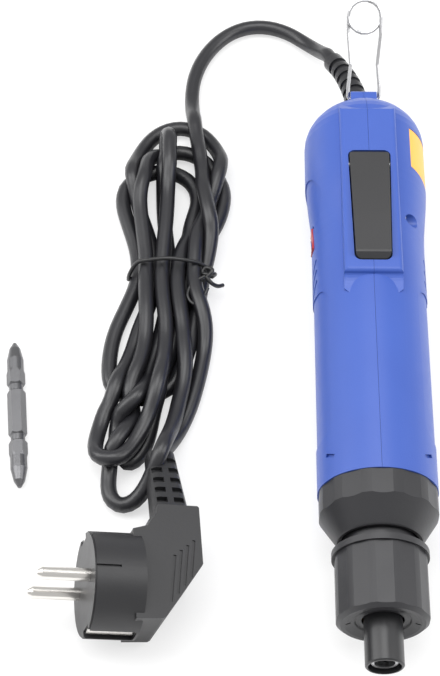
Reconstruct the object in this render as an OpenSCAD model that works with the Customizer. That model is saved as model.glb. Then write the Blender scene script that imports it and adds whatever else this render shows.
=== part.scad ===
// Electric torque screwdriver with its mains lead and a spare bit.
// Frame: the tool's axis is Y, its nose points along -Y, the start lever is on top (+Z).
// The origin is the mouth of the bit socket, on the tool's axis. Millimetres.

/* [Housing] */
// Height of the tool's axis above the bench it lies on
axis_h = 22.2; // [22:0.1:22.3]
// Diameter of the barrel
barrel_d = 44.8; // [44.6:0.1:46]
// Diameter of the swollen head
head_d = 49; // [48:0.2:52]
// Length of the two moulded halves
housing_l = 180.5; // [178:0.5:190]
// Wall of the two moulded halves
wall = 2.4; // [2:0.1:2.8]
// Distance from the front of the housing to where the barrel starts to swell
swell_start = 107.5; // [104:0.5:110]
// Length over which the barrel swells into the head
swell_l = 32; // [28:1:36]
// Length of the rounded head end
dome_l = 20; // [18:0.5:24]

/* [Platform and start lever] */
// Width of the raised platform that carries the lever
pad_w = 22.6; // [21:0.2:24]
// Height of the platform's top above the axis
pad_top = 24.6; // [24.2:0.1:25.2]
// Distance from the housing's front to the front end of the platform
pad_start = 84; // [82:0.5:86]
// Length of the flat platform
pad_l = 79; // [77:0.5:81]
// Radius along the platform's upper edges
pad_edge_r = 1.6; // [1:0.1:2]
// Length of the start lever
lever_l = 52; // [50:0.5:53]
// Width of the lever at its pivot end
lever_w_rear = 15.8; // [15:0.1:17]
// Width of the lever at its free end
lever_w_front = 13.6; // [12.5:0.1:15]
// How far the lever's free end stands above the platform
lever_proud = 2.4; // [1.5:0.1:3]
// Gap all round the lever
lever_gap = 0.5; // [0.4:0.05:0.8]
// Diameter of the lever's pivot pin
pin_d = 3; // [2:0.1:3.4]

/* [Nose] */
// Outside diameter of the sliding chuck sleeve
chuck_d = 14; // [13.6:0.1:14.6]
// Length of chuck sleeve that shows in front of the torque sleeve
chuck_show = 16; // [14:0.5:18]
// How far the chuck sleeve runs past the spindle's mouth
chuck_lead = 1.5; // [1:0.1:2.5]
// Travel of the chuck sleeve
chuck_travel = 4; // [3:0.1:4.2]
// Size of the torque sleeve over its corners
nut_d = 34.4; // [33:0.2:35]
// Length of the torque sleeve with its flange
nut_l = 27.8; // [26:0.2:30]
// Diameter of the flange at the rear of the torque sleeve
flange_d = 35.6; // [35.2:0.1:37]
// Thickness of that flange
flange_t = 2.4; // [1.6:0.1:3]
// Number of flats on the torque sleeve and on the collar
flats = 12; // [10:1:16]
// Travel of the torque sleeve from the lowest setting to the highest
nut_travel = 3.75; // [2.5:0.05:3.8]
// Outside diameter of the threaded neck
neck_d = 26.6; // [26:0.1:27.2]
// Diameter of the collar that holds the neck to the housing
collar_d = 44.2; // [43.6:0.1:44.4]
// Length of the collar
collar_l = 19.4; // [18:0.2:22]
// Diameter of the opening in the front of the collar
collar_mouth_d = 29; // [28.6:0.1:30]

/* [Drive] */
// Size of the bit socket across its flats
socket_af = 6.45; // [6.4:0.01:6.6]
// Depth of the bit socket
socket_depth = 15; // [13:0.5:17]
// Diameter of the round entry of the bit socket
socket_entry_d = 7.5; // [7.48:0.01:8]
// Length of the round entry
socket_entry_l = 3; // [2.5:0.1:3.5]
// Diameter of the spindle
spindle_d = 9.6; // [9.4:0.1:10]
// Gear module
gear_m = 0.85; // [0.8:0.01:0.86]
// Diameter of the motor
motor_d = 31; // [29:0.5:31]
// Length of the motor can
motor_l = 54; // [50:1:55]

/* [Hanging bail] */
// Diameter of the bail's wire
wire_d = 1.5; // [1.2:0.1:1.6]
// Outside diameter of the bail's ring
ring_d = 15; // [14:0.5:17]
// Distance from the bail's pivot to the middle of its ring
bail_l = 33.6; // [30:0.2:36]
// Angle at which the bail stands above the tool's axis
bail_angle = 40; // [30:1:60]
// Width of the moulded tab that the bail hooks into
tab_w = 10.7; // [9:0.1:12]

/* [Mains lead] */
// Diameter of the cord
cord_d = 6.2; // [5.8:0.1:6.4]
// Diameter of the tool's strain relief at its base
boot_d = 10.4; // [9:0.1:11]
// Diameter of the plug's face
plug_d = 38.4; // [37:0.2:39]
// Depth of the plug from its face to its back
plug_depth = 41; // [39:0.5:43]
// Diameter of a plug pin
plug_pin_d = 4.8; // [4.7:0.05:4.85]
// Length of a plug pin
plug_pin_l = 19; // [18:0.2:20]
// Distance between the plug's pins
plug_pitch = 19; // [18:0.2:19.4]

/* [Spare bit] */
// Length of the double-ended bit
bit_l = 65; // [50:1:75]
// Size of the bit across its flats
bit_af = 6.35; // [6:0.05:6.4]

/* [Hidden] */
$fn = 64;
eps = 0.02;          // overcut of a hole past its face
run_gap = 0.05;      // radial running clearance of a shaft or slide
fit_gap = 0.3;       // clearance between pieces that don't touch
seat_gap = 0.1;      // clearance between faces that seat on each other
parting = 0.05;      // half the gap along the parting line
bench_z = -axis_h;

// Radii from the diameters above
barrel_r = barrel_d / 2;
head_r = head_d / 2;
neck_r = neck_d / 2;
collar_r = collar_d / 2;
spindle_r = spindle_d / 2;
chuck_r = chuck_d / 2;
motor_r = motor_d / 2;
wire_r = wire_d / 2;

// Stations along the tool's axis, from the nose to the head
chuck_y = -chuck_lead;
nut_y = chuck_y + chuck_show;
nut_end_y = nut_y + nut_l;
collar_y = nut_end_y + nut_travel + 0.45;
housing_y = collar_y + collar_l + seat_gap;
swell_y = housing_y + swell_start;
housing_end_y = housing_y + housing_l;
dome_y = housing_end_y - dome_l;
pad_y = housing_y + pad_start;
pad_end_y = pad_y + pad_l;

// Fixed walls and seats of the nose
nut_wall = 3;
nut_bore_r = neck_r + run_gap;
nut_mouth_r = chuck_r + 0.7;
neck_bore_r = neck_r - 1.7;
neck_y = nut_y + nut_wall + nut_travel + fit_gap;
chuck_l = 21.5;
land_y = 6.1;
land_end_y = land_y + 5.1;
clip_t = 0.8;
clip_y = land_y - clip_t - seat_gap;
detent_r = 1.4;
detent_y = land_y + 2.5;
spring_seat_y = chuck_y + chuck_l + chuck_travel - 0.9;
neck_flange_r = neck_r + 4.1;
neck_flange_y = collar_y + 6.2;
neck_flange_t = 3.4;
neck_end_y = neck_flange_y + neck_flange_t;
thrust_t = 2.4;
thrust_y = nut_y + nut_wall + seat_gap;
thrust_r = neck_bore_r - run_gap;

// Clutch, from the spring's seat to the driving cam
plate_t = 3;
ball_d = 3.5;
ball_ring_r = 8.6;
ball_count = 6;
ball_fit = 0.05;
cam_t = 3.2;
cam_gap = 1.9;
washer_t = 1.6;
cam_y = neck_flange_y - 0.6;
plate_y = cam_y - cam_gap - plate_t;
washer_y = plate_y - washer_t - seat_gap;

// Gear train: two planetary stages of the same teeth
sun_teeth = 12;
planet_teeth = 12;
ring_teeth = sun_teeth + 2 * planet_teeth;
planet_count = 3;
pressure = 25;
addendum = 0.8;
dedendum = 1.0;
backlash = 0.12;
planet_orbit = gear_m * (sun_teeth + planet_teeth) / 2;
planet_pin_r = 1.5;
gear_t = 8.5;
plate_gap = 0.4;
carrier_t = 4;
carrier_r = gear_m * ring_teeth / 2 - 1.1;
hub_r = 6;
journal_r = 3.5;
case_y = neck_end_y + seat_gap;
case_r = barrel_r - wall - 1.2;
case_nose_r = 17.3;
case_nose_l = housing_y + 4 + fit_gap - case_y;
bearing_r = 10.5;
bearing_t = 7;
bearing_y = case_y + 2;
out_plate_y = bearing_y + bearing_t + 5;
out_gear_y = out_plate_y + carrier_t + plate_gap;
in_plate_y = out_gear_y + gear_t + plate_gap;
in_gear_y = in_plate_y + carrier_t + plate_gap;
case_end_y = in_gear_y + gear_t + 1.6;
motor_y = case_end_y + seat_gap;
motor_end_y = motor_y + motor_l;
shaft_r = 1.6;
armature_r = 9.6;
magnet_r = motor_r - 1.3;
magnet_t = 3;

// Start lever, its pin and its switch
lever_y = pad_y + 5.4;
lever_end_y = lever_y + lever_l;
lever_base_z = 20.4;
lever_rear_rise = 0.5;
pin_y = lever_end_y - 4.4;
pin_z = 20.9;
pin_r = pin_d / 2;
pin_l = pad_w - 4.4;
plunger_y = pin_y - 33;
plunger_r = 1.6;
plunger_top_z = lever_base_z - fit_gap;
switch_top_z = 15.6;
switch_size = [6.4, 12.8, 7.6];
lever_spring_y = pin_y - 13.5;
lever_spring_r = 2.4;
shelf_z = 14.4;
shelf_t = 1.8;

// Housing screws, as [distance from the pivot pin, height]
screw_at = [[-23, 15.2], [24, -11], [-23, -16.6], [-62, -18]];
screw_boss_r = 2.9;
screw_r = 1.3;
screw_head_r = 2.5;

// Side details of the head
plate_y0 = pin_y + 2.6;
plate_y1 = pin_y + 21.8;
plate_z0 = -9;
plate_z1 = 17.2;
plate_t2 = 0.5;
recess_t = 0.6;
rocker_y = pin_y - 24.6;
rocker_l = 11;
rocker_h = 6.4;
rocker_pin_x = -(barrel_r - 2.2);
panel_step = 0.4;
panel_y0 = housing_y + 18;
panel_y1 = pad_y - 0.4;
panel_z = 14.2;
vent_count = 3;
vent_pitch = 5;
vent_w = 1.5;
vent_l = 13;

// Bail pivot in the tab
tab_top_z = 12;
tab_t = 5.6;
tab_len = 3.4;
bail_y = housing_end_y + 0.4;
bail_z = tab_top_z - 2.8;
ring_r = (ring_d - wire_d) / 2;
leg_x = tab_w / 2 + fit_gap + wire_r;
hook_in = 2.4;

// Strain relief of the tool: where it starts, its segments and how it bends
boot_start = [-0.6, housing_end_y - 1.6, -1];
boot_segments = 8;
boot_step = 4.9;
boot_yaw = [7, 2.5];
boot_drop = [1.5, 2.6];

// Route of the lead on the bench, by hand: from the strain relief to the hank
lead_route = [[-17.5, 296, -12], [-26, 305.5, -16], [-36.5, 311, -18.6], [-47, 311.5, -19.1],
    [-57, 306.5, -19.1], [-65, 297, -19.1], [-70, 286, -19.1], [-72, 275, -19.1],
    [-72.2, 266, -19.1], [-71.4, 258.8, -19.1]];
// Route of the tail, by hand: from the hank to the plug's strain relief
tail_route = [[-67.5, 124.6, -19.1], [-68.6, 119, -19], [-71.4, 110, -17.6], [-75, 101.5, -15.2]];
hank_h = 14;

// Plug: where its face is, and how it lies
plug_at = [-106.4, 28.8, 1.15];
plug_tilt = 15;
plug_yaw = 4.8;
plug_roll = 4.2;
plug_round_l = 18.6;
plug_back_h = 25;
plug_boot_back = 32.6;
plug_boot_w = 13.6;
plug_block_y = 27.5;
plug_boot_l = 31;
plug_boot_bend = 20;

// Spare bit on the bench
bit_at = [-137.6, 111, bench_z + bit_af / 2];
bit_yaw = 5.4;

// ---------- helpers ----------

function unit(v) = v / norm(v);
function last(list) = list[len(list) - 1];

// A smooth curve through hand-placed points, n steps between two of them
function catmull(a, b, c, d, t) =
    0.5 * (2 * b + (c - a) * t + (2 * a - 5 * b + 4 * c - d) * t * t
    + (3 * b - a - 3 * c + d) * t * t * t);
function smooth_route(p, n) = [
    for (i = [0:len(p) - 2], k = [0:n - 1])
        catmull(p[max(i - 1, 0)], p[i], p[i + 1], p[min(i + 2, len(p) - 1)], k / n),
    last(p)];

// A round bar swept along a list of points; ref is a direction the path never takes
module swept(path, r, sides, ref) {
    count = len(path);
    tangents = [for (i = [0:count - 1]) unit(path[min(i + 1, count - 1)] - path[max(i - 1, 0)])];
    points = [for (i = [0:count - 1])
        let (side = unit(cross(tangents[i], ref)), up = cross(side, tangents[i]))
        for (k = [0:sides - 1]) let (a = 360 * k / sides)
            path[i] + r * (cos(a) * side + sin(a) * up)];
    skin = [for (i = [0:count - 2], k = [0:sides - 1])
        let (a = i * sides + k, b = i * sides + (k + 1) % sides)
        each [[a, b, b + sides], [a, b + sides, a + sides]]];
    caps = [[for (k = [sides - 1:-1:0]) k], [for (k = [0:sides - 1]) (count - 1) * sides + k]];
    polyhedron(points = points, faces = concat(skin, caps), convexity = 10);
}

function coil_path(r, turns, length, steps) = [
    for (i = [0:turns * steps]) let (a = 360 * i / steps)
        [r * cos(a), r * sin(a), length * i / (turns * steps)]];

module along_y(y) { translate([0, y, 0]) rotate([-90, 0, 0]) children(); }
module disc_y(y, l, r) { along_y(y) cylinder(h = l, r = r); }
module ring_y(y, l, ro, ri) {
    along_y(y) difference() {
        cylinder(h = l, r = ro);
        translate([0, 0, -eps]) cylinder(h = l + 2 * eps, r = ri);
    }
}
module turned_y(profile) { along_y(0) rotate_extrude() polygon(profile); }
module bar_x(y, z, r, x0, x1) { translate([x0, y, z]) rotate([0, 90, 0]) cylinder(h = x1 - x0, r = r); }
// A prism across the tool from an outline in the YZ plane
module across(x0, x1) { translate([x0, 0, 0]) rotate([90, 0, 90]) linear_extrude(x1 - x0) children(); }
module rounded(size, r) {
    hull() for (x = [-1, 1], y = [-1, 1])
        translate([x * (size[0] / 2 - r), y * (size[1] / 2 - r)]) circle(r, $fn = 24);
}

// ---------- gears ----------

function roll(r, base) = tan(acos(base / r)) - acos(base / r) * PI / 180;
// Half the angle a tooth covers at radius r; slack thins it
function tooth_half(r, teeth, slack) =
    let (pitch_r = gear_m * teeth / 2, base = pitch_r * cos(pressure))
    90 / teeth + (roll(pitch_r, base) - roll(max(r, base), base) - slack / 2 / pitch_r) * 180 / PI;
function tooth_radii(teeth, inner, outer) =
    let (base = max(gear_m * teeth / 2 * cos(pressure), inner))
    concat(inner < base ? [inner] : [], [for (k = [0:4]) base + (outer - base) * k / 4]);
module gear_outline(teeth, inner, outer, slack) {
    radii = tooth_radii(teeth, inner, outer);
    polygon([for (i = [0:teeth - 1]) let (mid = 360 * i / teeth) each concat(
        [for (r = radii) let (a = mid - tooth_half(r, teeth, slack)) r * [cos(a), sin(a)]],
        [for (k = [len(radii) - 1:-1:0])
            let (r = radii[k], a = mid + tooth_half(r, teeth, slack)) r * [cos(a), sin(a)]])]);
}
module outer_gear(teeth) {
    pitch_r = gear_m * teeth / 2;
    gear_outline(teeth, pitch_r - dedendum * gear_m, pitch_r + addendum * gear_m, backlash);
}
module planet_gear(y, index) {
    color("dimgray") rotate([0, -360 * index / planet_count, 0]) translate([planet_orbit, 0, 0])
        along_y(y) difference() {
            linear_extrude(gear_t) rotate(180 / planet_teeth) outer_gear(planet_teeth);
            translate([0, 0, -eps]) cylinder(h = gear_t + 2 * eps, r = planet_pin_r + run_gap);
        }
}
module planet_pins(y, l) {
    for (i = [0:planet_count - 1]) rotate([0, -360 * i / planet_count, 0])
        translate([planet_orbit, 0, 0]) along_y(y) cylinder(h = l, r = planet_pin_r);
}

// ---------- housing ----------

function swell_r(t) = barrel_r + (head_r - barrel_r) * (1 - cos(180 * t)) / 2;
// Half section of the barrel and head, inset from the outer face
function body_profile(inset, front) = concat(
    [[0, front], [barrel_r - inset, front]],
    [for (k = [0:8]) [swell_r(k / 8) - inset, swell_y + swell_l * k / 8]],
    [for (a = [0:9:81]) [(head_r - inset) * cos(a), dome_y + (dome_l - inset) * sin(a)]],
    [[0, housing_end_y - inset]]);
module body_form(inset, front) { turned_y(body_profile(inset, front)); }

// Half the platform's section: flat top, rounded edge, flared foot
module pad_section() {
    edge_x = pad_w / 2 - pad_edge_r;
    edge_z = pad_top - pad_edge_r;
    foot = 5;
    half = concat([[0, 0], [barrel_r - 4, 0], [pad_w / 2 + foot, edge_z - foot - 4]],
        [for (a = [0:15:90]) [pad_w / 2 + foot * (1 - sin(a)), edge_z - 4 - foot * cos(a)]],
        [for (a = [0:15:90]) [edge_x + pad_edge_r * cos(a), edge_z + pad_edge_r * sin(a)]],
        [[0, pad_top]]);
    polygon(half);
    mirror([1, 0]) polygon(half);
}
// Side view of the platform: a scoop up from the barrel, the flat, and a slope into the head
module pad_side() {
    scoop = 11;
    scoop_h = pad_top - pad_edge_r - barrel_r + 2.2;
    polygon(concat([[pad_y - scoop, 0]],
        [for (a = [0:10:90]) [pad_y - scoop + scoop * sin(a), barrel_r - 2.2 + scoop_h * (1 - cos(a))]],
        [for (a = [0:15:90])
            [pad_y + pad_edge_r * (1 - cos(a)), pad_top - pad_edge_r * (1 - sin(a))]],
        [[pad_end_y, pad_top], [pad_end_y + 6, pad_top - 4.8], [dome_y + dome_l * 0.8, 10],
            [dome_y + dome_l * 0.8, 0]]));
}
module pad_plan() {
    nose_r = 7;
    half_w = pad_w / 2 + 6;
    polygon(concat(
        [for (a = [0:10:180]) [half_w * cos(a), pad_y + nose_r + 4 - (nose_r + 15) * sin(a)]],
        [[-half_w, dome_y - 3], [-pad_w / 2, dome_y + 5], [-pad_w / 2 + 1.5, dome_y + 11],
            [-pad_w / 2 + 6, dome_y + dome_l], [pad_w / 2 - 6, dome_y + dome_l],
            [pad_w / 2 - 1.5, dome_y + 11], [pad_w / 2, dome_y + 5], [half_w, dome_y - 3]]));
}
module pad_form() {
    intersection() {
        translate([0, housing_end_y, 0]) rotate([90, 0, 0]) linear_extrude(housing_l) pad_section();
        across(-pad_w, pad_w) pad_side();
        linear_extrude(pad_top + 1) pad_plan();
    }
}
// Outline of the lever from above, grown by a gap
module lever_plan(gap) {
    r = 2.2;
    hull() {
        for (s = [-1, 1]) {
            translate([s * (lever_w_front / 2 - r), lever_y + r]) circle(r + gap, $fn = 32);
            translate([s * (lever_w_rear / 2 - r), lever_end_y - r]) circle(r + gap, $fn = 32);
        }
    }
}
module tab_form(grow) {
    translate([-tab_w / 2 - grow, dome_y + 4, tab_top_z - tab_t - grow])
        cube([tab_w + 2 * grow, housing_end_y - dome_y - 4 + tab_len - 2.8, tab_t + 2 * grow]);
    bar_x(housing_end_y + tab_len - 2.8, tab_top_z - tab_t / 2, tab_t / 2 + grow,
        -tab_w / 2 - grow, tab_w / 2 + grow);
}
// The shape that holds the orange plate, seen from the side
module plate_outline(grow) {
    offset_y = 4.5;
    polygon([[plate_y0 - grow, plate_z0 - grow], [plate_y1 + grow, plate_z0 - grow],
        [plate_y1 + grow, plate_z1 + grow], [plate_y0 - grow, plate_z1 + grow],
        [plate_y0 - offset_y - grow, plate_z0 + offset_y]]);
}
module panel_outline() {
    r = 6;
    for (y = [panel_y0 + r, panel_y1 - r], z = [-panel_z + r, panel_z - r])
        translate([y, z]) circle(r);
    translate([panel_y0, -panel_z + r]) square([panel_y1 - panel_y0, 2 * panel_z - 2 * r]);
    translate([panel_y0 + r, -panel_z]) square([panel_y1 - panel_y0 - 2 * r, 2 * panel_z]);
}
module side_cuts(side) {
    // long shallow panel
    difference() {
        across(side > 0 ? 6 : -30, side > 0 ? 30 : -6) panel_outline();
        body_form(panel_step, housing_y - 1);
    }
    // slanted vents behind the panel
    for (k = [0:vent_count - 1])
        translate([side * barrel_r, pad_y + 2 + vent_pitch * k, 3]) rotate([-45, 0, 0])
            cube([14, vent_w, vent_l], center = true);
    // pry slot by the collar
    rotate([0, side * 54, 0]) translate([0, housing_y + 9.5, barrel_r]) rotate([0, 0, side * 24])
        cube([5, 1.4, 2.2], center = true);
}
module ribs() {
    // cradles of the gear case and the motor
    for (y = [case_y + case_nose_l + 4, case_end_y - 5])
        ring_y(y, 2, barrel_r - wall + eps, case_r + seat_gap);
    for (y = [motor_y + 8, motor_y + motor_l / 2, motor_end_y - 10])
        ring_y(y, 2, barrel_r - wall + eps, motor_r + seat_gap);
    // shelf under the lever spring and the switch
    intersection() {
        body_form(wall - eps, housing_y + 4);
        union() {
            translate([-30, lever_spring_y - 4, shelf_z - shelf_t]) cube([60, 8, shelf_t]);
            translate([-30, plunger_y - 7.5, switch_top_z - switch_size[2] - shelf_t - seat_gap])
                cube([60, 15, shelf_t]);
            // board slots
            translate([-30, pin_y - 6, -12.2]) cube([60, 2, 5.4]);
            translate([-30, pin_y + 18, -12.2]) cube([60, 2, 5.4]);
        }
    }
    // cord clamp posts
    intersection() {
        body_form(wall - eps, housing_y + 4);
        for (s = [-1, 1]) translate([s * 9.5 - 2.5, dome_y + 2, -30]) cube([5, 5, 26]);
    }
    // lever pin bosses
    for (s = [-1, 1]) bar_x(pin_y, pin_z, pin_r + 1.6, s > 0 ? 8.5 : -pad_w / 2 + 1,
        s > 0 ? pad_w / 2 - 1 : -8.5);
    // screw bosses
    intersection() {
        body_form(wall - eps, housing_y + 4);
        for (p = screw_at) bar_x(pin_y + p[0], p[1], screw_boss_r, -30, 30);
    }
}
module housing_solid() {
    difference() {
        union() {
            difference() {
                union() {
                    body_form(0, housing_y);
                    pad_form();
                    tab_form(0);
                    ring_y(case_y + 1, housing_y - case_y, 19.2, case_nose_r + 0.2);
                }
                body_form(wall, housing_y + 4);
                ring_y(case_y, case_nose_l + 4, case_nose_r + 0.1, 0.5);
                // hollow under the platform
                intersection() {
                    translate([-pad_w / 2 + 2.4, pad_y + 2.6, 0])
                        cube([pad_w - 4.8, pad_end_y - pad_y - 5, pad_top - 2.2]);
                    across(-pad_w, pad_w) pad_side();
                }
            }
            ribs();
        }
        // flat that the tool lies on
        translate([-40, 0, -60 - axis_h]) cube([80, 300, 60]);
        // slot for the lever, and room below it
        translate([0, 0, lever_base_z - 5]) linear_extrude(20) lever_plan(lever_gap);
        // motor and gear case bores through the shelves
        disc_y(motor_y - 0.2, motor_l + 1.2, motor_r + seat_gap);
        disc_y(case_y + 2, case_end_y - case_y, case_nose_r + 0.1);
        // lever pin
        bar_x(pin_y, pin_z, pin_r + 0.02, -pin_l / 2 - 0.1, pin_l / 2 + 0.1);
        // bail pivot holes
        bar_x(bail_y, bail_z, wire_r + run_gap, -tab_w, -tab_w / 2 + hook_in + 0.3);
        bar_x(bail_y, bail_z, wire_r + run_gap, tab_w / 2 - hook_in - 0.3, tab_w);
        // cord entry
        along_y(housing_end_y - 14) cylinder(h = 20, r = boot_d / 2 + 0.1);
        // screws: head recess on the right, shank through, thread on the left
        for (p = screw_at) {
            bar_x(pin_y + p[0], p[1], screw_r, -12, 20);
            bar_x(pin_y + p[0], p[1], screw_head_r + 0.2, screw_seat(p), 40);
        }
        // direction rocker's window
        translate([-barrel_r - 5, rocker_y - rocker_l / 2 - 0.4, 2 - rocker_h / 2 - 0.4])
            cube([12, rocker_l + 0.8, rocker_h + 0.8]);
        side_cuts(1);
        side_cuts(-1);
        // recess of the coloured plate
        difference() {
            across(6, 40) plate_outline(0.25);
            body_form(recess_t, housing_y);
        }
        // grip recess on the left
        difference() {
            translate([-26, pin_y - 9, 2]) rotate([0, 90, 0]) cylinder(h = 16, r = 12.6);
            body_form(0.5, housing_y);
        }
    }
}
// Where a screw's head seats, from the outer radius at that height
function screw_seat(p) = sqrt(max((barrel_r - 0.5) * (barrel_r - 0.5) - p[1] * p[1], 30)) - 3.6;
module half(side) {
    intersection() {
        housing_solid();
        translate([side > 0 ? parting : -40 - parting, 0, -40]) cube([40, 300, 90]);
    }
}
module housing_left() { color("royalblue") half(-1); }
module housing_right() { color("royalblue") half(1); }
module housing_screws() {
    color("silver") for (p = screw_at) difference() {
        union() {
            bar_x(pin_y + p[0], p[1], screw_r - 0.02, -8, screw_seat(p) + 0.5);
            bar_x(pin_y + p[0], p[1], screw_head_r, screw_seat(p), screw_seat(p) + 1.8);
        }
        for (turn = [0, 90]) translate([screw_seat(p) + 1.6, pin_y + p[0], p[1]]) rotate([turn, 0, 0])
            cube([1, 0.7, 3], center = true);
    }
}
module side_plate() {
    color("orange") intersection() {
        across(6, 40) plate_outline(0);
        difference() {
            body_form(recess_t - plate_t2, housing_y);
            body_form(recess_t, housing_y);
        }
    }
}

// ---------- lever and switches ----------

module lever_side() {
    top = pad_top + lever_proud;
    rear = pad_top + lever_rear_rise;
    polygon([[lever_y, lever_base_z], [lever_y, pad_top], [lever_y + 1.8, top - 0.2],
        [lever_y + 2.6, top], [lever_y + lever_l * 0.4, top - 0.5], [lever_end_y - 1, rear],
        [lever_end_y, rear - 0.8], [lever_end_y, lever_base_z + 1.2], [lever_end_y - 1.2, lever_base_z]]);
}
module start_lever() {
    color("#3c3d40") difference() {
        union() {
            intersection() {
                linear_extrude(40) lever_plan(0);
                across(-20, 20) lever_side();
            }
            bar_x(pin_y, pin_z, pin_r + 1.4, -lever_w_rear / 2 + 0.6, lever_w_rear / 2 - 0.6);
        }
        bar_x(pin_y, pin_z, pin_r + run_gap, -20, 20);
        // hollow under the lever, clear of its ribs
        difference() {
            translate([-lever_w_front / 2 + 1.4, lever_y + 2, lever_base_z - 1])
                cube([lever_w_front - 2.8, lever_l - 14, 3.6]);
            translate([-8, plunger_y - 2.4, 0]) cube([16, 4.8, 40]);
        }
    }
}
module lever_pin() { color("silver") bar_x(pin_y, pin_z, pin_r, -pin_l / 2, pin_l / 2); }
module lever_spring() {
    color("silver") translate([0, lever_spring_y, shelf_z + 0.4])
        swept(coil_path(lever_spring_r, 5, lever_base_z + 1.9 - shelf_z, 12), 0.35, 6, [0, 0, 1]);
}
module start_switch() {
    color("#26262a") difference() {
        translate([-switch_size[0] / 2, plunger_y - switch_size[1] / 2, switch_top_z - switch_size[2]])
            cube(switch_size);
        translate([0, plunger_y, switch_top_z - 4]) cylinder(h = 5, r = plunger_r + run_gap);
    }
}
module switch_plunger() {
    color("firebrick") translate([0, plunger_y, switch_top_z - 1.6])
        cylinder(h = plunger_top_z - switch_top_z + 1.6, r = plunger_r);
}
module direction_switch() {
    color("#26262a") difference() {
        translate([rocker_pin_x + 2.2, rocker_y - rocker_l / 2 - 1, 2 - rocker_h / 2])
            cube([7, rocker_l + 2, rocker_h]);
        translate([rocker_pin_x, rocker_y, -20]) cylinder(h = 40, r = 4.6);
    }
}
module direction_rocker() {
    color("firebrick") translate([rocker_pin_x, rocker_y, 2 - rocker_h / 2])
        linear_extrude(rocker_h) intersection() {
            polygon([[2.4, 1.8], [2.4, -1.8], [-1, -rocker_l / 2 + 0.6], [-2.5, -rocker_l / 2 + 0.9],
                [-1.9, 0], [-2.5, rocker_l / 2 - 0.9], [-1, rocker_l / 2 - 0.6]]);
            circle(rocker_l / 2);
        }
}

// ---------- hanging bail ----------

// The wire in its own plane: x across, y away from the pivot, z off the plane
function bail_path() = concat(
    [[-leg_x + 1.2, 0, 0], [-leg_x + 0.5, 0, 0], [-leg_x, 0.9, 0], [-leg_x, 5, 0],
        [-leg_x + 0.9, bail_l * 0.42, 0], [-ring_r + 0.1, bail_l * 0.8, -wire_r]],
    [for (i = [0:27]) let (a = 180 - 20 * i)
        [ring_r * cos(a), bail_l + ring_r * sin(a), -wire_r + wire_d * 1.04 * i / 27]],
    [[ring_r - 0.1, bail_l * 0.8, wire_r], [leg_x - 0.9, bail_l * 0.42, 0], [leg_x, 5, 0],
        [leg_x, 0.9, 0], [leg_x - 0.5, 0, 0], [leg_x - 1.2, 0, 0]]);
module hanging_bail() {
    color("silver") {
        translate([0, bail_y, bail_z]) rotate([bail_angle, 0, 0]) swept(bail_path(), wire_r, 8, [0, 0, 1]);
        for (s = [-1, 1]) bar_x(bail_y, bail_z, wire_r,
            s > 0 ? tab_w / 2 - hook_in : -leg_x + 0.8, s > 0 ? leg_x - 0.8 : -tab_w / 2 + hook_in);
    }
}

// ---------- strain relief, clamp and electrics ----------

function heading(yaw, drop) = [-sin(yaw) * cos(drop), cos(yaw) * cos(drop), -sin(drop)];
function boot_point(i) = i == 0 ? boot_start
    : boot_point(i - 1) + boot_step * heading(boot_yaw[0] + boot_yaw[1] * (i - 1),
        boot_drop[0] + boot_drop[1] * (i - 1));
function boot_radius(i) = boot_d / 2 - (boot_d / 2 - cord_d / 2 - 0.9) * i / boot_segments;
module boot_piece(i, l, r) {
    translate(boot_point(i)) rotate([0, 0, boot_yaw[0] + boot_yaw[1] * i])
        rotate([-90 - boot_drop[0] - boot_drop[1] * i, 0, 0]) cylinder(h = l, r = r);
}
module cord_boot() {
    color("#222226") {
        along_y(dome_y + dome_l - 5.4) cylinder(h = 5.2, r = boot_d / 2 - 0.05);
        ring_y(housing_end_y - wall - 3.4, 2.2, boot_d / 2 + 2.4, 1);
        for (i = [0:boot_segments - 1]) {
            boot_piece(i, boot_step + 0.4, boot_radius(i) - 0.9);
            if (i > 0) boot_piece(i, 2.6, boot_radius(i));
        }
        boot_piece(boot_segments - 1, boot_step, cord_d / 2 + 1.2);
    }
}
module cord_clamp() {
    color("#2a2a2e") {
        translate([-12.4, dome_y + 1.6, -3.6]) cube([24.8, 6, 3]);
        for (s = [-1, 1]) translate([s * 9.5, dome_y + 4.6, -0.9]) cylinder(h = 2.2, r = 2);
    }
}
module circuit_board() {
    color("darkgreen") translate([-14, pin_y - 12, -6.6]) cube([28, 36, 1.6]);
    color("#303034") {
        translate([-10, pin_y - 8, -5]) cube([9, 9, 5]);
        translate([3, pin_y - 9, -5]) cube([8, 6, 3.4]);
        translate([-11, pin_y + 6, -5]) cube([6, 12, 4]);
    }
}
module power_capacitor() {
    color("navy") bar_x(pin_y + 11, 0.7, 5.4, -2, 13);
}

// ---------- motor and gears ----------

module motor_can() {
    color("silver") difference() {
        disc_y(motor_y, motor_l - 8, motor_r);
        disc_y(motor_y + 2, motor_l, motor_r - 1.2);
        disc_y(motor_y - 1, 5, 3.4);
    }
}
module motor_magnets() {
    color("#3a3a3e") difference() {
        ring_y(motor_y + 5, motor_l - 18, magnet_r, magnet_r - magnet_t);
        for (s = [-1, 1]) translate([-30, motor_y, s * 14 - 4]) cube([60, motor_l, 8]);
    }
}
module motor_end_cap() {
    y = motor_y + motor_l - 8 + seat_gap;
    color("#e8e4d8") difference() {
        disc_y(y, 8 - seat_gap, motor_r);
        disc_y(y - 1, 6, motor_r - 2);
        disc_y(y, 10, shaft_r + run_gap);
        for (s = [-1, 1]) translate([s * 7.4 - 3.7, y + 1, -2.2]) cube([7.4, 8, 4.4]);
    }
}
module carbon_brushes() {
    color("#222222") for (s = [-1, 1])
        translate([s > 0 ? 4.4 : -10.4, motor_y + motor_l - 6.6, -2]) cube([6, 4.4, 4]);
}
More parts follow.
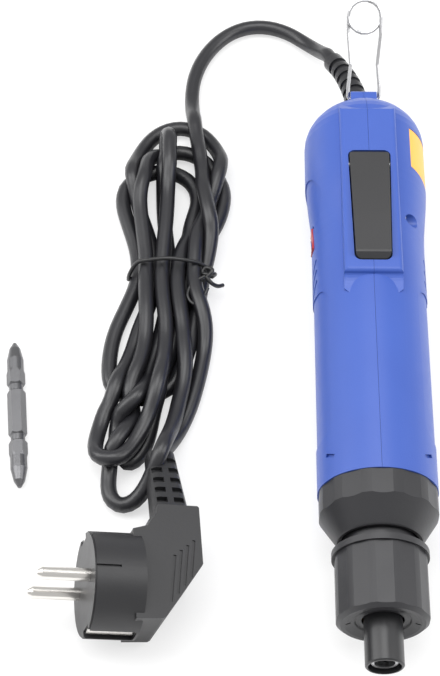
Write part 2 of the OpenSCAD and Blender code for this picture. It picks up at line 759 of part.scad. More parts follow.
module rotor() {
    color("#8a8a90") {
        disc_y(in_gear_y + 0.8, motor_end_y - in_gear_y - 0.8, shaft_r);
        difference() {
            disc_y(motor_y + 7, motor_l - 23, armature_r);
            for (i = [0:6]) rotate([0, i * 360 / 7, 0])
                translate([-1, motor_y, armature_r - 4]) cube([2, motor_l, 8]);
        }
        disc_y(motor_y + motor_l - 15, 12, 4.2);
        along_y(in_gear_y + 0.8) linear_extrude(gear_t) outer_gear(sun_teeth);
    }
}
module gear_case() {
    ring_pitch = gear_m * ring_teeth / 2;
    color("#9aa0a6") difference() {
        union() {
            disc_y(case_y, case_nose_l, case_nose_r);
            disc_y(case_y + case_nose_l, case_end_y - case_y - case_nose_l, case_r);
        }
        disc_y(case_y - 1, 5, hub_r + 2);
        disc_y(bearing_y, bearing_t + 10, bearing_r + 0.02);
        disc_y(bearing_y + bearing_t + 3.4, out_gear_y - bearing_y - bearing_t - 3.6, carrier_r + 0.5);
        along_y(out_gear_y - 0.3) linear_extrude(case_end_y - out_gear_y + 1)
            rotate(180 / ring_teeth) gear_outline(ring_teeth, ring_pitch - addendum * gear_m,
                ring_pitch + dedendum * gear_m, -backlash);
    }
}
module planet_in_1() { planet_gear(in_gear_y, 0); }
module planet_in_2() { planet_gear(in_gear_y, 1); }
module planet_in_3() { planet_gear(in_gear_y, 2); }
module planet_out_1() { planet_gear(out_gear_y, 0); }
module planet_out_2() { planet_gear(out_gear_y, 1); }
module planet_out_3() { planet_gear(out_gear_y, 2); }
module carrier_in() {
    color("#b0b2b6") {
        disc_y(in_plate_y, carrier_t, carrier_r);
        planet_pins(in_plate_y + 1, carrier_t - 1 + plate_gap + gear_t);
        along_y(out_gear_y + 0.4) linear_extrude(in_plate_y - out_gear_y + 0.4) outer_gear(sun_teeth);
    }
}
module carrier_out() {
    color("#b0b2b6") difference() {
        union() {
            disc_y(out_plate_y, carrier_t, carrier_r);
            planet_pins(out_plate_y + 1, carrier_t - 1 + plate_gap + gear_t);
            disc_y(cam_y + 1, out_plate_y - cam_y, hub_r);
            disc_y(cam_y, cam_t, neck_bore_r - 0.4);
        }
        disc_y(cam_y - 1, out_plate_y - cam_y + 2, journal_r + run_gap);
        clutch_pockets();
    }
}
module output_bearing() {
    color("silver") {
        ring_y(bearing_y, bearing_t, bearing_r, hub_r + run_gap);
    }
}

// ---------- clutch, neck and torque sleeve ----------

module at_balls() {
    for (i = [0:ball_count - 1]) rotate([0, 360 * i / ball_count, 0])
        translate([ball_ring_r, cam_y - cam_gap / 2, 0]) children();
}
module clutch_pockets() { at_balls() sphere(ball_d / 2 + ball_fit); }
module clutch_balls() { color("silver") at_balls() sphere(ball_d / 2); }
module clutch_plate() {
    color("#8c8f94") difference() {
        disc_y(plate_y, plate_t, neck_bore_r - 0.4);
        disc_y(plate_y - 1, plate_t + 2, spindle_r + 0.01);
        clutch_pockets();
    }
}
module thrust_washer() { color("silver") ring_y(washer_y, washer_t, neck_bore_r - 0.4, spindle_r + 0.4); }
module torque_spring() {
    wire = 1;
    start = thrust_y + thrust_t + wire + seat_gap;
    color("#a8a8ac") along_y(start)
        swept(coil_path(neck_bore_r - wire - 0.5, 5, washer_y - wire - seat_gap - start, 16), wire,
            8, [0, 0, 1]);
}
module thrust_ring() { color("#c0b080") ring_y(thrust_y, thrust_t, thrust_r, nut_mouth_r); }
module front_neck() {
    color("#2c2d30") difference() {
        union() {
            disc_y(neck_y, neck_end_y - neck_y, neck_r);
            disc_y(neck_flange_y, neck_flange_t, neck_flange_r);
        }
        disc_y(neck_y - 1, neck_end_y - neck_y + 2, neck_bore_r);
    }
}
module collar_ring() {
    mouth_r = collar_mouth_d / 2;
    cone_l = 10;
    color("#35363a") difference() {
        intersection() {
            turned_y([[0, collar_y], [mouth_r + 1.1, collar_y], [mouth_r + 1.5, collar_y + 0.4],
                [collar_r, collar_y + cone_l], [collar_r, collar_y + collar_l], [0, collar_y + collar_l]]);
            along_y(collar_y - 1) rotate(180 / flats)
                cylinder(h = collar_l + 2, r = collar_r / cos(180 / flats) * 0.985, $fn = flats);
        }
        disc_y(collar_y - 1, collar_l + 2, mouth_r);
        disc_y(neck_flange_y - seat_gap, collar_l, neck_flange_r + 0.1);
        disc_y(neck_end_y, collar_l, 19.3);
    }
}
module torque_sleeve() {
    face_r = chuck_r + 3.2;
    edge = 1.4;
    color("#3d3e46") difference() {
        union() {
            intersection() {
                along_y(nut_y) rotate(180 / flats) cylinder(h = nut_l - flange_t, r = nut_d / 2,
                    $fn = flats);
                turned_y([[0, nut_y], [nut_d / 2 - edge - 0.6, nut_y], [nut_d / 2 - 0.3, nut_y + edge],
                    [nut_d / 2 - 0.3, nut_end_y], [0, nut_end_y]]);
            }
            disc_y(nut_end_y - flange_t, flange_t, flange_d / 2);
        }
        disc_y(nut_y - 1, nut_l + 2, nut_mouth_r);
        disc_y(nut_y + nut_wall, nut_l, nut_bore_r);
        // dished face round the chuck, with a fine step
        turned_y([[0, nut_y - 1], [face_r + 4, nut_y - 1], [face_r + 3.4, nut_y + 0.02],
            [face_r, nut_y + 1.1], [face_r - 0.4, nut_y + 1.7], [0, nut_y + 1.7]]);
        // two sight slots
        for (s = [-1, 1]) translate([s * 12.4 - 0.9, nut_y - 1, -0.4]) cube([1.8, 2.6, 0.8]);
    }
}

// ---------- spindle and chuck ----------

module spindle() {
    hex_r = socket_af / 2 / cos(30);
    color("#6e7076") difference() {
        union() {
            disc_y(0, plate_y + plate_t, spindle_r);
            disc_y(plate_y + plate_t - eps, bearing_y + bearing_t - plate_y - plate_t, journal_r);
            disc_y(spring_seat_y, 2, chuck_r - 1.1);
        }
        along_y(-1) rotate(30) cylinder(h = socket_depth + 1, r = hex_r, $fn = 6);
        disc_y(-1, socket_entry_l + 1, socket_entry_d / 2);
        ring_y(clip_y - run_gap, clip_t + 2 * run_gap, spindle_r + 1, spindle_r - 0.5);
        translate([0, detent_y, 0]) cylinder(h = 8, r = detent_r + run_gap);
    }
}
module detent_ball() { color("silver") translate([0, detent_y,
    spindle_r - detent_r - 0.02]) sphere(detent_r); }
module chuck_clip() { color("#2c2c30") ring_y(clip_y, clip_t, spindle_r + 0.95, spindle_r - 0.48); }
module chuck_sleeve() {
    color("#2b2a2e") difference() {
        turned_y([[0, chuck_y], [chuck_r - 0.5, chuck_y], [chuck_r, chuck_y + 0.5],
            [chuck_r, chuck_y + chuck_l], [0, chuck_y + chuck_l]]);
        disc_y(chuck_y - 1, 30, spindle_r + run_gap);
        disc_y(chuck_y - 1, land_y - chuck_y + 1, chuck_r - 1);
        disc_y(land_end_y, 20, chuck_r - 1);
    }
}
module chuck_spring() {
    wire = 0.4;
    start = land_end_y + wire + seat_gap;
    color("silver") along_y(start) swept(coil_path(spindle_r + wire + 0.2, 4,
        spring_seat_y - wire - seat_gap - start, 12), wire, 6, [0, 0, 1]);
}

// ---------- spare bit ----------

module screw_bit() {
    r = bit_af / 2 / cos(30);
    color("#55565a") translate(bit_at) rotate([0, 0, bit_yaw]) difference() {
        intersection() {
            translate([0, bit_l / 2, 0]) rotate([90, 0, 0]) cylinder(h = bit_l, r = r, $fn = 6);
            translate([0, bit_l / 2, 0]) rotate([90, 0, 0]) rotate_extrude() polygon([[0, 0], [0.7,
                0], [2.2, 2.8],
                [r - 0.4, 8], [r - 0.4, 13], [r + 0.1, 15], [r + 0.1, 19], [r - 0.9, 20], [r - 0.9, 22.4],
                [r + 0.1, 23.4], [r + 0.1, bit_l - 23.4], [r - 0.9, bit_l - 22.4], [r - 0.9, bit_l - 20],
                [r + 0.1, bit_l - 19], [r + 0.1, bit_l - 15], [r - 0.4, bit_l - 13], [r - 0.4, bit_l - 8],
                [2.2, bit_l - 2.8], [0.7, bit_l], [0, bit_l]]);
        }
        // four flutes at each tip
        for (end = [-1, 1], turn = [45:90:315])
            translate([0, end * bit_l / 2, 0]) rotate([0, turn, 0])
                translate([1.5, 0, 0]) rotate([0, 0, end * 14]) translate([0, -9, 0])
                    rotate([0, 45, 0]) cube([3, 18, 3]);
    }
}

// ---------- mains lead ----------

module cord_lead() {
    route = concat([boot_point(boot_segments)], lead_route);
    color("#2a2b30") swept(smooth_route(route, 2), cord_d / 2, 8, [0, 0, 1]);
}
module cord_tail() {
    route = concat(tail_route, [plug_boot_end()]);
    color("#2a2b30") swept(smooth_route(route, 2), cord_d / 2, 8, [0, 0, 1]);
}
module cord_hank() {
    color("#2a2b30") translate([0, 0, bench_z]) linear_extrude(hank_h) {
        hull() {
            translate([-90, 220]) circle(12, $fn = 32);
            translate([-68.5, 222]) circle(12, $fn = 32);
            translate([-76, 242]) circle(15.5, $fn = 32);
            translate([-79, 181]) circle(15, $fn = 32);
        }
        hull() {
            translate([-79, 171]) circle(15, $fn = 32);
            translate([-95.5, 137]) circle(10, $fn = 32);
            translate([-75, 135]) circle(10, $fn = 32);
            translate([-96, 96]) circle(10, $fn = 32);
            translate([-79, 118]) circle(11, $fn = 32);
        }
    }
}
module cord_tie() {
    color("#1c1c1f") translate([0, 176, bench_z]) difference() {
        translate([-95.4, -1.4, 0]) cube([32.8, 2.8, hank_h + 1.2]);
        translate([-94.2, -2, -1]) cube([30.4, 4, hank_h + 1.1]);
    }
}

// The plug's own frame: +X is up across the pins, +Y goes to its cable, +Z along its pins
module plug_frame() {
    translate(plug_at) rotate([0, 0, plug_yaw]) rotate([0, plug_tilt - 90, 0])
        rotate([0, 0, -plug_roll]) children();
}
function rot_z(v, a) = [v[0] * cos(a) - v[1] * sin(a), v[0] * sin(a) + v[1] * cos(a), v[2]];
function rot_y(v, a) = [v[0] * cos(a) + v[2] * sin(a), v[1], v[2] * cos(a) - v[0] * sin(a)];
function plug_point(v) = plug_at + rot_z(rot_y(rot_z(v, -plug_roll), plug_tilt - 90), plug_yaw);
function plug_boot_end() = plug_point([-plug_boot_l * sin(plug_boot_bend),
    plug_block_y + plug_boot_l * cos(plug_boot_bend), -plug_boot_back]);
// Side outline of the plug's back: x is depth behind the face, y goes to the cable
module plug_back_outline() {
    polygon([[plug_round_l - 3, 17.5], [21, 19], [22.4, 21], [24.6, 24.2], [25.2, plug_block_y],
        [plug_depth - 1, plug_block_y], [plug_depth - 0.4, plug_block_y - 0.6], [plug_depth, 5],
        [plug_depth - 0.6, 4], [26.4, -15.6], [25.4, -16.2], [plug_round_l - 3, -16.6]]);
}
module plug_body() {
    color("#29292d") plug_frame() difference() {
        union() {
            translate([0, 0, -plug_round_l]) cylinder(h = plug_round_l - 0.6, r = plug_d / 2);
            translate([0, 0, -1]) cylinder(h = 1, r = plug_d / 2 - 0.5);
            translate([-plug_back_h / 2, 0, 0]) rotate([0, 90, 0]) linear_extrude(plug_back_h)
                plug_back_outline();
        }
        for (s = [-1, 1]) {
            // pin holes
            translate([s * plug_pitch / 2, 0, -12]) cylinder(h = 14, r = plug_pin_d / 2 - 0.28);
            // channels of the earth contacts
            translate([-4, s > 0 ? plug_d / 2 - 3 : -plug_d / 2 - 1, -plug_round_l + 1]) cube([8,
                4, plug_round_l + 1]);
            // slot along the flat side
            translate([s * (plug_d / 2 - 0.4) - 0.6, -0.5, -9.4]) cube([1.2, 1, 9]);
        }
        // grip grooves on both faces of the back
        for (s = [-1, 1], k = [0:3])
            translate([s * plug_back_h / 2 - 0.5, -10 + 3.2 * k, -29 - 2.6 * k]) rotate([-7, 0, 0])
                cube([1, 18 - 1.2 * k, 1.1]);
    }
}
module plug_pins() {
    tip = 1.6;
    color("silver") plug_frame() for (s = [-1, 1]) translate([s * plug_pitch / 2, 0, 0]) {
        translate([0, 0, -12]) cylinder(h = 13, r = plug_pin_d / 2 - 0.3);
        cylinder(h = plug_pin_l - tip, r = plug_pin_d / 2);
        translate([0, 0, plug_pin_l - tip]) cylinder(h = tip, r1 = plug_pin_d / 2,
            r2 = plug_pin_d / 2 - 1.3);
    }
}
module earth_contacts() {
    color("silver") plug_frame() for (s = [-1, 1])
        translate([-2.4, s > 0 ? plug_d / 2 - 2.8 : -plug_d / 2 + 1.6, -plug_round_l + 1.4])
            cube([4.8, 1.2, plug_round_l - 2]);
}
module plug_boot() {
    end_w = cord_d + 4.6;
    color("#29292d") plug_frame() translate([0, plug_block_y, -plug_boot_back]) rotate([0, 0, plug_boot_bend])
        rotate([-90, 0, 0]) difference() {
            hull() {
                linear_extrude(0.4) rounded([10.6, plug_boot_w], 3);
                translate([0, 0, plug_boot_l - 0.4]) linear_extrude(0.4) rounded([9.4, end_w], 3);
            }
            for (k = [0:4]) translate([0, 0, 3.4 + 5.2 * k]) {
                translate([3.2, 1.2, 0]) cube([6, 4, 2.6]);
                translate([3.2, -5.2, 0]) cube([6, 4, 2.6]);
                translate([-9.2, 1.2, 0]) cube([6, 4, 2.6]);
                translate([-9.2, -5.2, 0]) cube([6, 4, 2.6]);
            }
        }
}

housing_left();
housing_right();
housing_screws();
side_plate();
start_lever();
lever_pin();
lever_spring();
start_switch();
switch_plunger();
direction_switch();
direction_rocker();
hanging_bail();
cord_boot();
cord_clamp();
circuit_board();
power_capacitor();
motor_can();
motor_end_cap();
motor_magnets();
carbon_brushes();
rotor();
gear_case();
planet_in_1();
planet_in_2();
planet_in_3();
carrier_in();
planet_out_1();
planet_out_2();
planet_out_3();
carrier_out();
output_bearing();
clutch_plate();
clutch_balls();
thrust_washer();
torque_spring();
thrust_ring();
front_neck();
collar_ring();
torque_sleeve();
spindle();
chuck_sleeve();
chuck_spring();
detent_ball();
chuck_clip();
screw_bit();
cord_lead();
cord_hank();
cord_tail();
cord_tie();
plug_body();
plug_pins();
earth_contacts();
plug_boot();
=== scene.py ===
import math

import bpy
import bmesh
import numpy as np
from mathutils import Matrix, Vector


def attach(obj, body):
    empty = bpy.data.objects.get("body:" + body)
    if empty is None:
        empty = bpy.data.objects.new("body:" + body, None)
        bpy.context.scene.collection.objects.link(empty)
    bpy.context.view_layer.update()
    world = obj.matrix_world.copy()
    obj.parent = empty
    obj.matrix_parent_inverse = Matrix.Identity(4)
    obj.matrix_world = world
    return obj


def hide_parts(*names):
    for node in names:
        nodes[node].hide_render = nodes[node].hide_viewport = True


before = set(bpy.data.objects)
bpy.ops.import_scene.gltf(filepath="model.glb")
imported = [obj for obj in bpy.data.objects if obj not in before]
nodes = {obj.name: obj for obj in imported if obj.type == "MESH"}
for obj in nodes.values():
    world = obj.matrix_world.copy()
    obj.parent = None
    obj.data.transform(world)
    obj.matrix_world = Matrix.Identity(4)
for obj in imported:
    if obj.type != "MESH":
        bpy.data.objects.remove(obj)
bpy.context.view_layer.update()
scene = bpy.context.scene
mm = 0.001
benchZ = -22.2 * mm

camData = bpy.data.cameras.new("camera")
cam = bpy.data.objects.new("camera", camData)
scene.collection.objects.link(cam)
scene.camera = cam
scene.render.resolution_x = 440
scene.render.resolution_y = 676
camData.sensor_width = 36
camData.lens = 36 * 1917 / 676
camData.clip_start = 0.01
camData.clip_end = 50
camPitch = math.radians(57.5)
camYaw = math.radians(0.43)
aim = Vector((-math.sin(camYaw) * math.cos(camPitch), math.cos(camYaw) * math.cos(camPitch),
              -math.sin(camPitch)))
cam.location = (-55.7 * mm, -264.9 * mm, 627 * mm)
cam.rotation_euler = aim.to_track_quat("-Z", "Y").to_euler()
print("camera set")


cordPlan = {
    "diameter": 6.2 * mm,
    # The route as given, in millimetres: x, y and how many cords deep it lies on the bench.
    "lead": [(-10.9, 281.6, 1.76), (-17.5, 296, 1.14), (-26, 305.5, 0.5), (-36.5, 311, 0.08), (-47, 311.5, 0),
             (-57, 306.5, 0), (-65, 297, 0), (-70, 286, 0), (-72, 275, 0.3), (-71.8, 264, 1.0),
             (-70.6, 252, 1.4), (-68.9, 241, 1.7), (-66.9, 228, 1.9), (-65.2, 214, 1.9),
             (-64.5, 201, 1.4), (-64.6, 188, 0.5), (-66.3, 176, 0)],
    "wideTurn": [(-68.3, 163, 0), (-69.5, 150, 0), (-72.5, 136, 0), (-79, 124, 0), (-88.5, 117, 0),
                 (-97.5, 117.5, 0), (-102.4, 125, 0), (-102.9, 135, 0), (-101.2, 148.5, 0),
                 (-96.5, 161, 0), (-92.6, 172, 0), (-91.6, 178, 0)],
    "loopC": [(-93.2, 190, 0), (-97.5, 204, 0), (-99.6, 216, 0), (-96, 226, 0), (-88, 230, 0.1),
              (-78.5, 229.5, 0.3), (-71, 225, 0.5), (-67.6, 216, 0.7), (-68.3, 206, 0.9), (-72, 192, 0.9),
              (-75.6, 181, 0.9)],
    "longTurn": [(-76.3, 170, 0.9), (-75, 158, 1), (-73, 144, 1.3), (-72.3, 131, 1.5), (-73.6, 117, 1.6),
                 (-76.8, 101, 1.6), (-80.8, 88, 1.6), (-84.8, 78, 1.6), (-90, 71, 1.4), (-96.5, 69.3, 1),
                 (-101, 73.5, 0.6), (-101.3, 82, 0.3), (-98.3, 95, 0.1), (-94, 110, 0.1), (-90, 126, 0.5),
                 (-88.6, 141, 1), (-88.4, 157, 1.1), (-88.8, 170, 1)],
    "loopB": [(-88.9, 182, 1), (-90.6, 196, 1.3), (-93, 210, 1.8), (-92.8, 222, 1.9), (-89.4, 233, 1.6),
              (-82.5, 240, 1.2), (-74.5, 241, 0.9), (-66, 236.5, 0.5), (-60, 228, 0.1), (-58.2, 217, 0),
              (-60.3, 205, 0), (-66, 193, 0), (-71.5, 182, 0)],
    "innerTurn": [(-73.2, 170, 0), (-74.5, 156, 0), (-78, 142, 0.1), (-81.8, 128, 0.4), (-84.5, 113, 0.7),
                  (-86, 101, 0.7), (-88, 93, 0.6), (-92.5, 87.3, 0.4), (-98, 88, 0.2),
                  (-100, 94, 0), (-97.5, 104, 0),
                  (-91, 118, 0.3), (-85.6, 131, 0.4), (-81.8, 146, 0.1), (-79.9, 160, 0), (-79.5, 171, 0)],
    "loopD": [(-80, 183, 0), (-81.8, 199, 0.2), (-83, 216, 0.6), (-83, 231, 1.2), (-82.6, 240.5, 1.4),
              (-82, 246.5, 2), (-81.4, 246, 2.9), (-81, 240, 3.4), (-81, 231, 3.2), (-81.1, 216, 2.2),
              (-81.4, 200, 1.6), (-82, 186, 1.1)],
    "shortTurn": [(-82.4, 173, 1), (-81.2, 160, 1.2), (-80.3, 146, 1.8), (-80.6, 131, 2.3), (-83.2, 115, 2.5),
                  (-87.6, 103, 2.4), (-92, 93, 2.2), (-97.5, 86.5, 1.9), (-103.5, 86.5, 1.6),
                  (-107, 92.5, 1.3),
                  (-105.2, 104, 1.1), (-99.3, 118, 1.1), (-95.2, 134, 0.9), (-91, 150, 0.4),
                  (-87.2, 163, 0.1),
                  (-85.8, 173, 0)],
    "loopA": [(-86, 184, 0), (-89.5, 198, 0.5), (-94.3, 212, 1), (-96, 226, 1), (-93.4, 240, 0.5),
              (-86.5, 250.5, 0.1), (-77, 254.6, 0), (-67.8, 251.5, 0), (-60.8, 242, 0.4), (-58.9, 230, 0.9),
              (-61.6, 217, 1), (-65.6, 203, 1.0), (-68.6, 189, 1), (-69.9, 177, 0.95)],
    "tail": [(-68.6, 165, 0.9), (-65.6, 154, 0.4), (-64.9, 143, 0), (-66.3, 131, 0), (-69.3, 118, 0),
             (-73.2, 106, 0.25), (-77.8, 96, 0.6), (-81.47, 88.35, 1.31)],
    "order": ["lead", "wideTurn", "loopC", "longTurn", "loopB", "innerTurn", "loopD", "shortTurn", "loopA",
              "tail"],
}


def smoothPath(points, step):
    # Points at an even step along a smooth curve through the given ones
    fine = []
    for i in range(len(points) - 1):
        a, b, c, d = (points[max(i - 1, 0)], points[i], points[i + 1], points[min(i + 2, len(points) - 1)])
        for k in range(12):
            t = k / 12
            fine.append(0.5 * (2 * b + (c - a) * t + (2 * a - 5 * b + 4 * c - d) * t * t
                               + (3 * b - a - 3 * c + d) * t ** 3))
    fine.append(points[-1])
    fine = np.array(fine)
    run = np.concatenate([[0], np.cumsum(np.linalg.norm(np.diff(fine, axis=0), axis=1))])
    count = int(round(run[-1] / step))
    even = np.linspace(0, run[-1], count + 1)
    return np.stack([np.interp(even, run, fine[:, k]) for k in range(3)], axis=1)


def settleCord(path, diameter, floorZ, rounds):
    # Lifts and spreads the passes of the cord where they cross; close crossings still touch
    path = path.copy()
    n = len(path)
    skip = 7
    near = diameter * 1.02
    held = np.zeros(n, bool)
    held[:3] = True
    held[-3:] = True
    start = path.copy()
    order = path[:, 2].copy()
    i, j = np.triu_indices(n, skip)
    flat = np.linalg.norm(path[i, :2] - path[j, :2], axis=1)
    keep = flat < 3.2 * diameter
    i, j = i[keep], j[keep]
    upper = np.where(order[i] >= order[j], 1.0, -1.0)
    for turn in range(rounds):
        gap = path[i] - path[j]
        dist = np.maximum(np.linalg.norm(gap, axis=1), 1e-6)
        short = np.maximum(near - dist, 0)
        push = gap / dist[:, None]
        steep = np.abs(push[:, 2]) * 0.6 + 0.4
        push[:, 2] = upper * steep
        push *= (short * 0.28)[:, None]
        move = np.zeros_like(path)
        weight = np.zeros(n)
        np.add.at(move, i, push)
        np.add.at(move, j, -push)
        np.add.at(weight, i, short > 0)
        np.add.at(weight, j, short > 0)
        move /= np.maximum(weight, 1)[:, None] ** 0.5
        path += move
        # stiffness, weight and the bench
        mid = (path[:-2] + path[2:]) / 2 - path[1:-1]
        path[1:-1] += mid * 0.16
        path[:, 2] -= 0.012 * mm * 2
        path[:, :2] += (start[:, :2] - path[:, :2]) * 0.03
        path[:, 2] = np.maximum(path[:, 2], floorZ)
        path[held] = start[held]
    return path


restHeight, layerRise = -19.1, 6.2
route = [Vector((x, y, restHeight + layerRise * deep)) * mm
         for part in cordPlan["order"] for x, y, deep in cordPlan[part]]
rough = smoothPath(np.array([tuple(p) for p in route]), 2.9 * mm)
cordPath = settleCord(rough, cordPlan["diameter"], benchZ + cordPlan["diameter"] / 2, 700)


def wire(name, points, radius, steps=3):
    # A round bar along points, as a curve of one spline
    data = bpy.data.curves.new(name, "CURVE")
    data.dimensions = "3D"
    data.bevel_depth = radius
    data.bevel_resolution = steps
    data.use_fill_caps = True
    line = data.splines.new("POLY")
    line.points.add(len(points) - 1)
    for spot, p in zip(line.points, points):
        spot.co = (p[0], p[1], p[2], 1)
    line.use_smooth = True
    obj = bpy.data.objects.new(name, data)
    scene.collection.objects.link(obj)
    return obj


cord = wire("mains_cord", [tuple(p) for p in cordPath], cordPlan["diameter"] / 2, 4)
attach(cord, "tool")
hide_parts("cord_lead", "cord_hank", "cord_tail")

tiePlan = {
    "radius": 0.85 * mm,
    "y": 176,
    "ring": [(-96.3, -19.5), (-95.6, -15), (-92.4, -10.4), (-87, -8.1), (-80, -7.4), (-73, -8.0),
            (-67, -10.8),
             (-62.9, -15), (-62.2, -19.5)],
    "knot": [(-62.2, 175.5, -18), (-61, 173.8, -13.5), (-63.5, 172, -11.2), (-66, 173.5, -12.2),
            (-64.5, 175.3, -11),
             (-62, 173, -9.8), (-64.5, 170.3, -11)],
    "tail": [(-64.5, 170.8, -10.8), (-62.5, 168.5, -12), (-60, 168.6, -14.5), (-57.8, 170.4, -16.5)],
    "loop": [(-65, 171, -11), (-70, 168, -11.8), (-71.9, 162.5, -12.2), (-69.3, 158.6, -12.6),
            (-66, 161, -12.6),
             (-63.8, 166, -12)],
}


def smoothWire(name, points, radius):
    line = smoothPath(np.array(points) * mm, 0.7 * mm)
    return wire(name, [tuple(p) for p in line], radius)


tiePieces = [
    smoothWire("tie_ring", [(x, tiePlan["y"] + 1.2 * math.sin(x), z) for x, z in tiePlan["ring"]],
            tiePlan["radius"]),
    smoothWire("tie_knot", tiePlan["knot"], tiePlan["radius"]),
    smoothWire("tie_tail", tiePlan["tail"], tiePlan["radius"]),
    smoothWire("tie_loop", tiePlan["loop"], tiePlan["radius"] * 0.85),
]
for piece in tiePieces:
    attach(piece, "tool")
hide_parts("cord_tie")
print("cord laid")


class Maths:
    # A shader value that takes + - * with numbers and other values

    def __init__(self, shader, socket):
        self.shader, self.socket = shader, socket

    def step(self, kind, other):
        node = self.shader.tree.nodes.new("ShaderNodeMath")
        node.operation = kind
        for k, item in enumerate((self, other)):
            if isinstance(item, Maths):
                self.shader.tree.links.new(item.socket, node.inputs[k])
            else:
                node.inputs[k].default_value = item
        return Maths(self.shader, node.outputs[0])

    def __add__(self, other):
        return self.step("ADD", other)

    def __mul__(self, other):
        return self.step("MULTIPLY", other)

    def __sub__(self, other):
        return self.step("SUBTRACT", other)


class Shader:
    def __init__(self, name):
        self.material = bpy.data.materials.new(name)
        self.material.use_nodes = True
        self.tree = self.material.node_tree
        self.out = self.tree.nodes["Principled BSDF"]

    def node(self, kind, **inputs):
        # Any other node, its inputs by name
        made = self.tree.nodes.new(kind)
        for key, value in inputs.items():
            spot = made.inputs[key]
            if isinstance(value, Maths):
                self.tree.links.new(value.socket, spot)
            else:
                spot.default_value = value
        return made

    def noise(self, scale, detail=3.0):
        place = Maths(self, self.tree.nodes.new("ShaderNodeTexCoord").outputs["Object"])
        made = self.node("ShaderNodeTexNoise", Vector=place, Scale=scale, Detail=detail)
        return Maths(self, made.outputs[0])

    def feed(self, name, value):
        if isinstance(value, Maths):
            self.tree.links.new(value.socket, self.out.inputs[name])
        else:
            self.out.inputs[name].default_value = value

    def bump(self, height, strength, distance):
        made = self.node("ShaderNodeBump", Height=height, Strength=strength, Distance=distance)
        self.feed("Normal", Maths(self, made.outputs["Normal"]))

    def blend(self, fac, low, high):
        made = self.tree.nodes.new("ShaderNodeMix")
        made.data_type = "RGBA"
        self.tree.links.new(fac.socket, made.inputs[0])
        made.inputs[6].default_value = (*low, 1)
        made.inputs[7].default_value = (*high, 1)
        return Maths(self, made.outputs[2])


def finishOf(name, low, high, rough, grain=900, bump=0.12, metal=0.0):
    # A finish whose colour drifts between low and high, with a fine moulded or machined grain
    shader = Shader(name)
    shader.feed("Base Color", shader.blend(shader.noise(38), low, high))
    shader.feed("Roughness", (shader.noise(160, 2.0) - 0.5) * 0.08 + rough)
    shader.feed("Metallic", metal)
    if bump:
        shader.bump(shader.noise(grain, 2.0), bump, 0.0002)
    return shader.material


finishes = {
    "blue": finishOf("blue_plastic", (0.030, 0.075, 0.335),
            (0.036, 0.088, 0.375), 0.42, grain=1500, bump=0.16),
    "orange": finishOf("orange_plate", (0.86, 0.40, 0.05), (0.90, 0.44, 0.065), 0.45),
    "lever": finishOf("lever_plastic", (0.018, 0.018, 0.019), (0.024, 0.024, 0.026), 0.5, bump=0.2),
    "nose": finishOf("nose_plastic", (0.013, 0.013, 0.015), (0.019, 0.019, 0.022), 0.42, bump=0.15),
    "chuck": finishOf("chuck_black", (0.012, 0.012, 0.013), (0.018, 0.018, 0.02), 0.34, bump=0.05),
    "red": finishOf("red_rocker", (0.32, 0.01, 0.012), (0.38, 0.014, 0.016), 0.4),
    "cord": finishOf("cord_rubber", (0.010, 0.010, 0.012), (0.015, 0.015, 0.018), 0.36, grain=600, bump=0.1),
    "plug": finishOf("plug_plastic", (0.011, 0.011, 0.012), (0.016, 0.016, 0.018), 0.44, bump=0.15),
    "tie": finishOf("tie_coating", (0.008, 0.008, 0.009), (0.012, 0.012, 0.013), 0.35, bump=0),
    "steel": finishOf("plain_steel", (0.42, 0.42, 0.43), (0.52, 0.52, 0.53), 0.28, bump=0.05, metal=1.0),
    "nickel": finishOf("nickel_plate", (0.62, 0.60, 0.57), (0.70, 0.68, 0.65), 0.22, bump=0.03, metal=1.0),
    "bit": finishOf("bit_steel", (0.10, 0.10, 0.105), (0.16, 0.16, 0.165), 0.36, bump=0.12, metal=0.9),
    "alloy": finishOf("case_alloy", (0.48, 0.49, 0.51), (0.55, 0.56, 0.58), 0.4, metal=1.0),
    "bronze": finishOf("bronze", (0.42, 0.26, 0.12), (0.48, 0.31, 0.15), 0.35, metal=1.0),
    "board": finishOf("board_green", (0.01, 0.08, 0.03), (0.015, 0.1, 0.04), 0.4),
    "cream": finishOf("cream_insulator", (0.6, 0.56, 0.45), (0.66, 0.62, 0.5), 0.5),
    "ferrite": finishOf("dark_ferrite", (0.03, 0.03, 0.032), (0.045, 0.045, 0.048), 0.6),
}
finishByNode = {
    "blue": ["housing_left", "housing_right"],
    "orange": ["side_plate"],
    "lever": ["start_lever"],
    "nose": ["collar_ring", "torque_sleeve", "front_neck"],
    "chuck": ["chuck_sleeve", "chuck_clip"],
    "red": ["direction_rocker", "switch_plunger"],
    "cord": ["cord_boot"],
    "plug": ["plug_body", "plug_boot", "start_switch", "direction_switch"],
    "steel": ["housing_screws", "lever_pin", "lever_spring", "hanging_bail", "motor_can",
            "planet_in_1", "planet_in_2",
              "planet_in_3", "carrier_in", "planet_out_1", "planet_out_2", "planet_out_3", "carrier_out",
              "output_bearing", "clutch_plate", "clutch_balls", "thrust_washer", "torque_spring", "spindle",
              "chuck_spring", "detent_ball", "rotor"],
    "nickel": ["plug_pins", "earth_contacts"],
    "bit": ["screw_bit"],
    "alloy": ["gear_case"],
    "bronze": ["thrust_ring"],
    "board": ["circuit_board"],
    "cream": ["power_capacitor", "motor_end_cap", "cord_clamp"],
    "ferrite": ["motor_magnets", "carbon_brushes"],
}
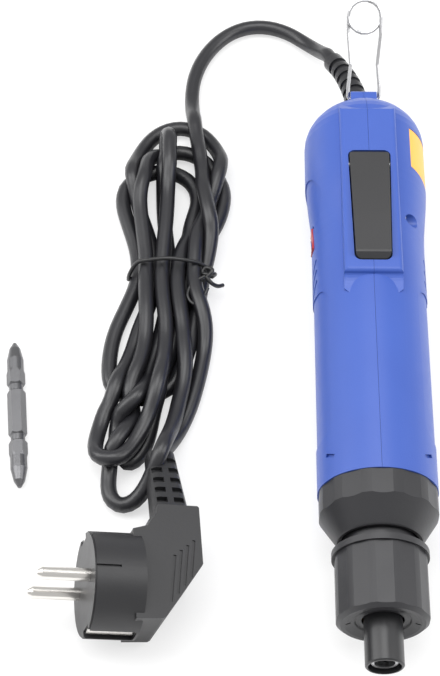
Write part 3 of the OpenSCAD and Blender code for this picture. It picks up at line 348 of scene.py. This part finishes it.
for look, names in finishByNode.items():
    for name in names:
        holder = nodes[name]
        if not holder.material_slots:
            holder.data.materials.append(finishes[look])
        for spot in holder.material_slots:
            spot.link = "OBJECT"
            spot.material = finishes[look]
cord.data.materials.append(finishes["cord"])
for piece in tiePieces:
    piece.data.materials.append(finishes["tie"])
print("finishes set")


floorShader = Shader("floor_white")
floorShader.feed("Base Color", (0.93, 0.93, 0.93, 1))
floorShader.feed("Roughness", 0.9)
floorShader.feed("Specular IOR Level", 0.1)
glow = floorShader.tree.nodes.new("ShaderNodeEmission")
glow.inputs["Strength"].default_value = 1.0
rays = floorShader.tree.nodes.new("ShaderNodeLightPath")
share = Maths(floorShader, rays.outputs["Is Camera Ray"]) * 0.62
mixer = floorShader.tree.nodes.new("ShaderNodeMixShader")
links = floorShader.tree.links
links.new(share.socket, mixer.inputs[0])
links.new(floorShader.out.outputs[0], mixer.inputs[1])
links.new(glow.outputs[0], mixer.inputs[2])
links.new(mixer.outputs[0], floorShader.tree.nodes["Material Output"].inputs["Surface"])
bpy.ops.object.select_all(action="DESELECT")
bpy.ops.mesh.primitive_plane_add(size=12, location=(0, 0, benchZ - 0.0002))
floor = bpy.context.object
floor.name = "floor"
floor.data.materials.append(floorShader.material)

world = bpy.data.worlds.new("world")
scene.world = world
world.use_nodes = True
world.node_tree.nodes["Background"].inputs["Color"].default_value = (1, 1, 1, 1)
world.node_tree.nodes["Background"].inputs["Strength"].default_value = 0.75


def softLamp(name, spot, target, size, power):
    data = bpy.data.lights.new(name, "AREA")
    data.shape = "RECTANGLE"
    data.size, data.size_y = size
    data.energy = power
    lamp = bpy.data.objects.new(name, data)
    scene.collection.objects.link(lamp)
    lamp.location = spot
    lamp.rotation_euler = (Vector(target) - Vector(spot)).to_track_quat("-Z", "Y").to_euler()


softLamp("lamp_left", (-0.9, 0.25, 0.75), (-0.03, 0.12, 0), (0.6, 1.1), 9)
softLamp("lamp_right", (0.85, 0.1, 0.7), (0, 0.12, 0), (0.4, 1.0), 6)
softLamp("lamp_top", (-0.05, 0.35, 1.25), (-0.05, 0.12, 0), (0.8, 0.8), 9)
scene.view_settings.view_transform = "Standard"
print("lit")
